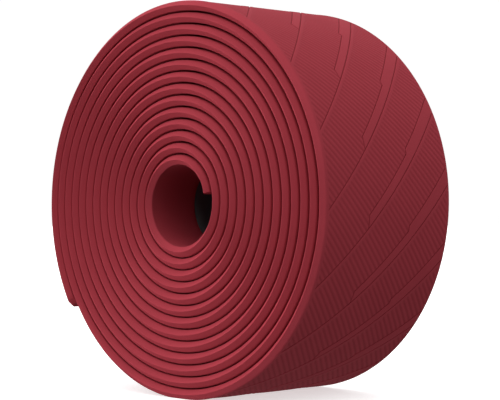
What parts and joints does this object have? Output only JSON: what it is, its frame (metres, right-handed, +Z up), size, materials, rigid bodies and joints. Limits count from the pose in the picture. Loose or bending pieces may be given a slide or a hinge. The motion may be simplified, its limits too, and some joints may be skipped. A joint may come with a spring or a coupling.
{
  "type": "handlebar tape roll",
  "caption": "Roll of foam handlebar tape with pointed edges and an adhesive strip with its liner on the back, standing on its rim; the free end unwinds.",
  "frame": {"origin": "on the floor under the roll's axis, in the middle of the tape's width", "axes": "+Y along the roll's axis, with the side the spiral is seen on facing -Y; +Z up; +X to the right seen from -Y"},
  "size_m": [0.0642, 0.03, 0.0629],
  "materials": {
    "foam": "matte",
    "adhesive": "satin",
    "liner": "matte"
  },
  "bodies": {
    "roll": {"tape_wound": "foam", "adhesive_wound": "adhesive", "liner_wound": "liner"},
    "tail_1": {"tape_tail_1": "foam", "adhesive_tail_1": "adhesive", "liner_tail_1": "liner"},
    "tail_2": {"tape_tail_2": "foam", "adhesive_tail_2": "adhesive", "liner_tail_2": "liner"},
    "tail_3": {"tape_tail_3": "foam", "adhesive_tail_3": "adhesive", "liner_tail_3": "liner"},
    "tail_4": {"tape_tail_4": "foam", "adhesive_tail_4": "adhesive", "liner_tail_4": "liner"},
    "tail_5": {"tape_tail_5": "foam", "adhesive_tail_5": "adhesive", "liner_tail_5": "liner"}
  },
  "joints": [
    {"name": "tail_unwind_1", "type": "hinge", "parent": "roll", "child": "tail_1", "pos_m": [-0.00366, 0, 0.06292], "axis": [0, 1, 0], "range_deg": [0, 25], "stiffness_Nm_per_rad": 0.0004, "springref_deg": -28.65},
    {"name": "tail_unwind_2", "type": "hinge", "parent": "tail_1", "child": "tail_2", "pos_m": [-0.0164, 0, 0.05878], "axis": [0, 1, 0], "range_deg": [0, 25], "stiffness_Nm_per_rad": 0.0004, "springref_deg": -28.65},
    {"name": "tail_unwind_3", "type": "hinge", "parent": "tail_2", "child": "tail_3", "pos_m": [-0.02638, 0, 0.04978], "axis": [0, 1, 0], "range_deg": [0, 25], "stiffness_Nm_per_rad": 0.0004, "springref_deg": -28.65},
    {"name": "tail_unwind_4", "type": "hinge", "parent": "tail_3", "child": "tail_4", "pos_m": [-0.03187, 0, 0.03745], "axis": [0, 1, 0], "range_deg": [0, 25], "stiffness_Nm_per_rad": 0.0004, "springref_deg": -28.65},
    {"name": "tail_unwind_5", "type": "hinge", "parent": "tail_4", "child": "tail_5", "pos_m": [-0.03186, 0, 0.02391], "axis": [0, 1, 0], "range_deg": [0, 25], "stiffness_Nm_per_rad": 0.0004, "springref_deg": -28.65}
  ],
  "couplings": [
    {"joint": "tail_unwind_2", "follows": "tail_unwind_1", "ratio": 1},
    {"joint": "tail_unwind_3", "follows": "tail_unwind_1", "ratio": 1},
    {"joint": "tail_unwind_4", "follows": "tail_unwind_1", "ratio": 1},
    {"joint": "tail_unwind_5", "follows": "tail_unwind_1", "ratio": 1}
  ]
}
